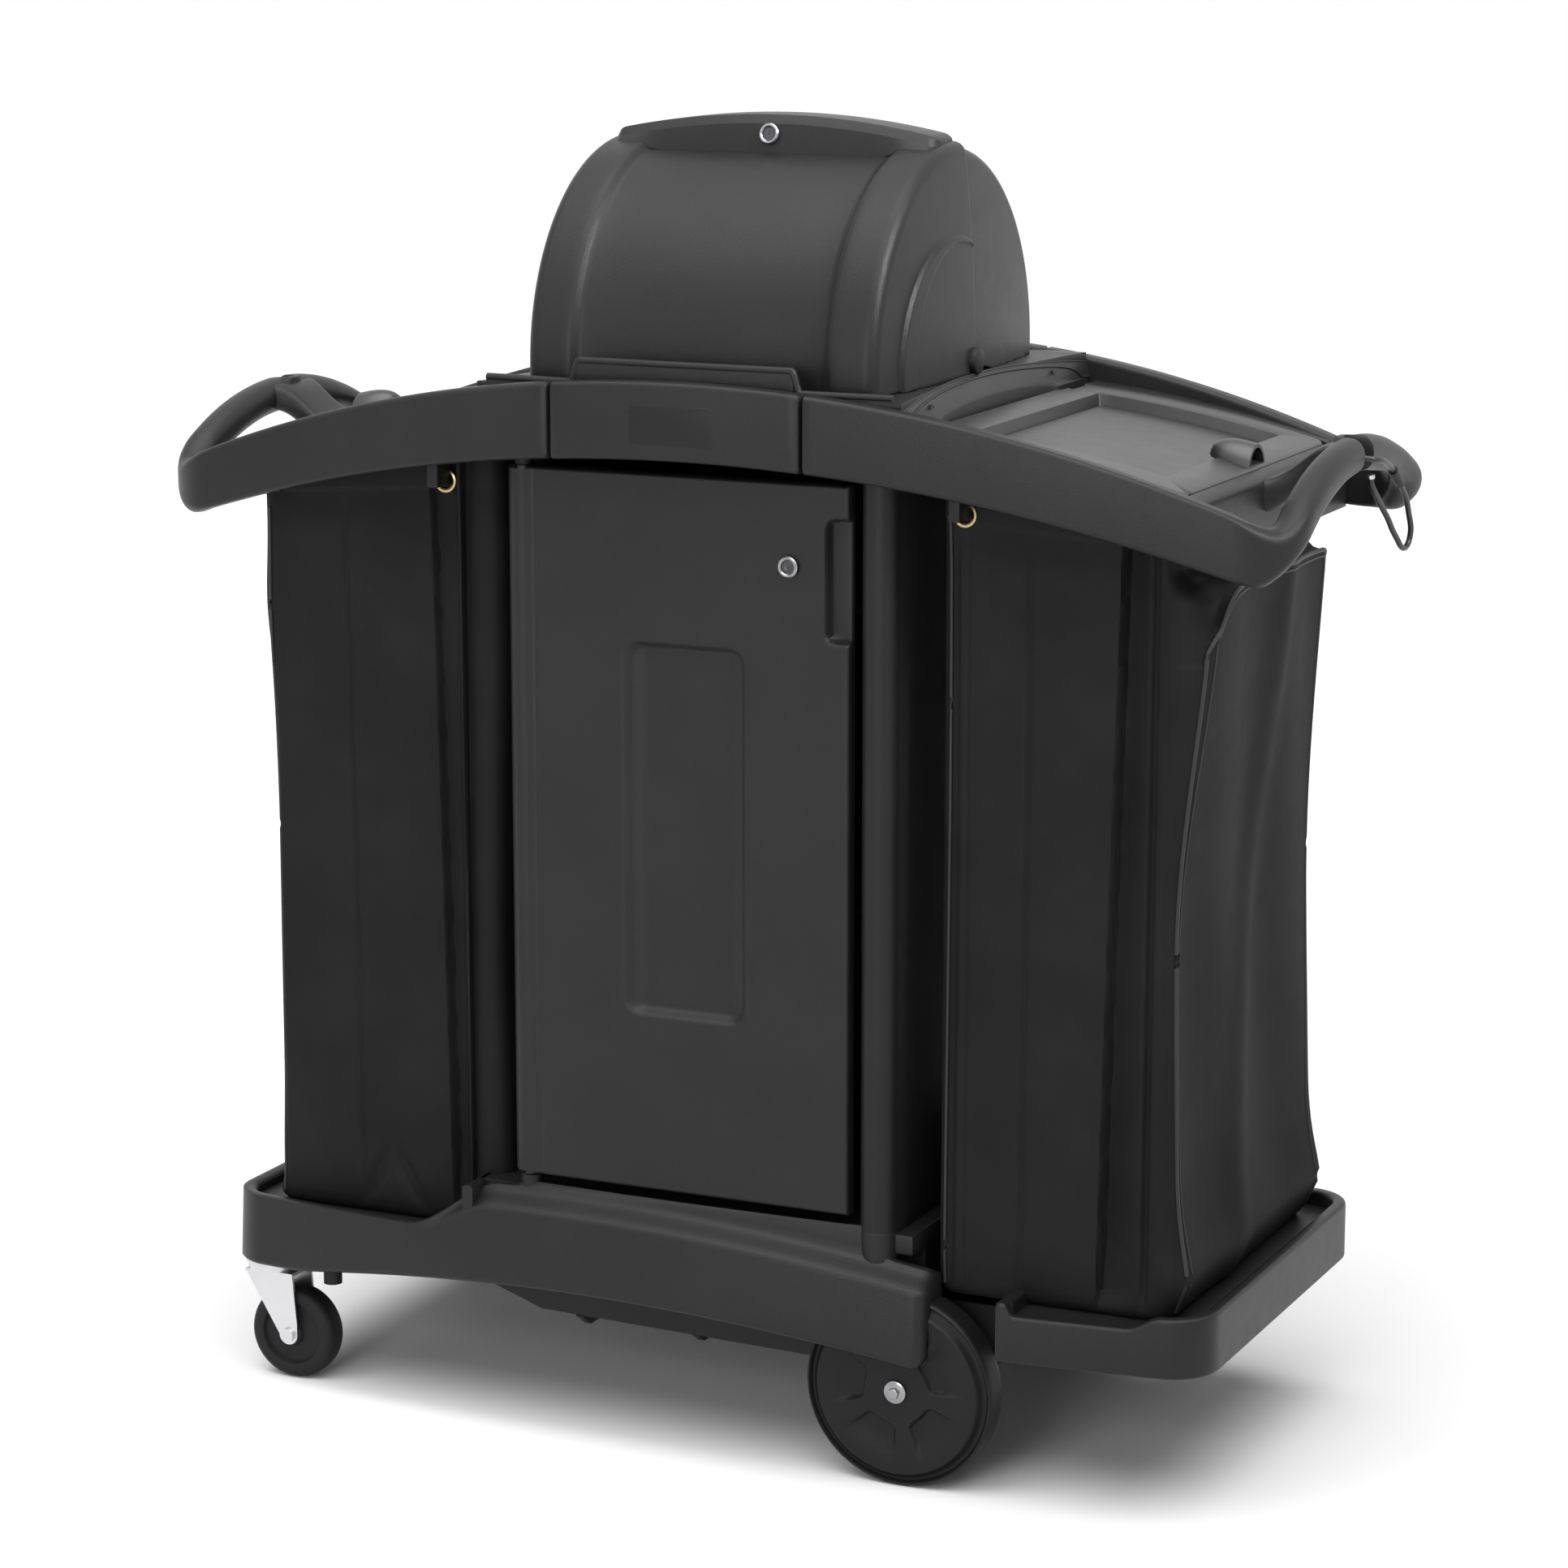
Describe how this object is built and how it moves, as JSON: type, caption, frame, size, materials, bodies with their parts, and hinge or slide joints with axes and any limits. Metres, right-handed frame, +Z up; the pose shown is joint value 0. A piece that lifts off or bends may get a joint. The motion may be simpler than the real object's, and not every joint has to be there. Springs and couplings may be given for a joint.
{
  "type": "janitor cart",
  "caption": "Cleaning cart with a locking cabinet and hood, lidded end wings with arched handles, hanging fabric bags, fixed rear wheels and swivel casters.",
  "frame": {"origin": "on the floor, under the middle of the cart's box", "axes": "+X along the cart towards the end with the security loop, +Y from the door side to the rear, +Z up"},
  "size_m": [1.263, 0.558, 1.36],
  "materials": {
    "shell_plastic": "fine moulded texture, satin",
    "frame_plastic": "smooth satin",
    "wheel_plastic": "smooth",
    "tread": "worn matt",
    "zinc": "bright zinc",
    "chrome": "polished",
    "brass": "polished",
    "bag_fabric": "coated woven fabric",
    "cable": "smooth coating"
  },
  "bodies": {
    "chassis": {"base_rim": "shell_plastic", "base_floor": "shell_plastic", "end_platform": "shell_plastic", "tub_pan": "frame_plastic", "tub_sides": "frame_plastic", "tub_ribs": "frame_plastic", "axle": "zinc", "axle_bolts": "chrome", "dock_pegs": "frame_plastic", "cabinet_floor": "shell_plastic", "posts_lower": "frame_plastic", "posts_middle": "frame_plastic", "posts_upper": "frame_plastic", "shelf_lower": "frame_plastic", "shelf_upper": "frame_plastic", "front_collars": "frame_plastic", "left_panel": "shell_plastic", "right_panel": "shell_plastic", "rear_panel": "shell_plastic", "deck": "shell_plastic", "left_wing": "shell_plastic", "right_wing": "shell_plastic", "front_fascia": "shell_plastic", "rear_fascia": "shell_plastic", "badge_plate": "frame_plastic", "hood_rear": "shell_plastic", "hood_pivots": "frame_plastic", "door_pins": "frame_plastic", "lid_pins": "zinc", "hook_brackets": "frame_plastic", "hook_pegs": "frame_plastic", "bag_grommets": "brass", "left_bag": "bag_fabric", "right_bag": "bag_fabric", "caster_plates": "zinc", "lanyard": "cable", "lanyard_crimp": "frame_plastic", "lanyard_ring": "zinc"},
    "door_leaf": {"door": "shell_plastic", "door_lock_body": "chrome"},
    "door_key": {"door_lock_plug": "chrome", "door_cam": "zinc"},
    "hood_shell": {"hood_front": "shell_plastic", "hood_lock_body": "chrome"},
    "hood_key": {"hood_lock_plug": "chrome", "hood_cam": "zinc"},
    "lid_left": {"left_lid": "shell_plastic"},
    "lid_right": {"right_lid": "shell_plastic"},
    "wheel_f": {"front_wheel": "wheel_plastic"},
    "wheel_r": {"rear_wheel": "wheel_plastic"},
    "caster_f": {"front_caster_fork": "zinc", "front_caster_axle": "zinc"},
    "caster_r": {"rear_caster_fork": "zinc", "rear_caster_axle": "zinc"},
    "roller_f": {"front_caster_wheel": "tread"},
    "roller_r": {"rear_caster_wheel": "tread"}
  },
  "joints": [
    {"name": "door_hinge", "type": "hinge", "parent": "chassis", "child": "door_leaf", "pos_m": [-0.19, -0.228, 0.64], "axis": [0, 0, -1], "range_deg": [0, 110]},
    {"name": "door_lock", "type": "hinge", "parent": "door_leaf", "child": "door_key", "pos_m": [0.111, -0.244, 0.933], "axis": [0, -1, 0], "range_deg": [0, 90]},
    {"name": "hood_hinge", "type": "hinge", "parent": "chassis", "child": "hood_shell", "pos_m": [0, 0, 1.115], "axis": [-1, 0, 0], "range_deg": [0, 80]},
    {"name": "hood_lock", "type": "hinge", "parent": "hood_shell", "child": "hood_key", "pos_m": [0, -0.0478, 1.3404], "axis": [0, -0.9721, 0.2346], "range_deg": [0, 90]},
    {"name": "left_lid_hinge", "type": "hinge", "parent": "chassis", "child": "lid_left", "pos_m": [-0.243, 0, 1.06548], "axis": [0, 1, 0], "range_deg": [0, 85]},
    {"name": "right_lid_hinge", "type": "hinge", "parent": "chassis", "child": "lid_right", "pos_m": [0.243, 0, 1.06548], "axis": [0, -1, 0], "range_deg": [0, 85]},
    {"name": "front_wheel_spin", "type": "hinge", "parent": "chassis", "child": "wheel_f", "pos_m": [0.234, -0.232, 0.1016], "axis": [0, 1, 0], "continuous": true},
    {"name": "rear_wheel_spin", "type": "hinge", "parent": "chassis", "child": "wheel_r", "pos_m": [0.234, 0.232, 0.1016], "axis": [0, 1, 0], "continuous": true},
    {"name": "front_caster_swivel", "type": "hinge", "parent": "chassis", "child": "caster_f", "pos_m": [-0.52, -0.205, 0.12], "axis": [0, 0, 1], "continuous": true},
    {"name": "rear_caster_swivel", "type": "hinge", "parent": "chassis", "child": "caster_r", "pos_m": [-0.52, 0.205, 0.12], "axis": [0, 0, 1], "continuous": true},
    {"name": "front_caster_spin", "type": "hinge", "parent": "caster_f", "child": "roller_f", "pos_m": [-0.492, -0.205, 0.0508], "axis": [0, 1, 0], "continuous": true},
    {"name": "rear_caster_spin", "type": "hinge", "parent": "caster_r", "child": "roller_r", "pos_m": [-0.492, 0.205, 0.0508], "axis": [0, 1, 0], "continuous": true}
  ]
}
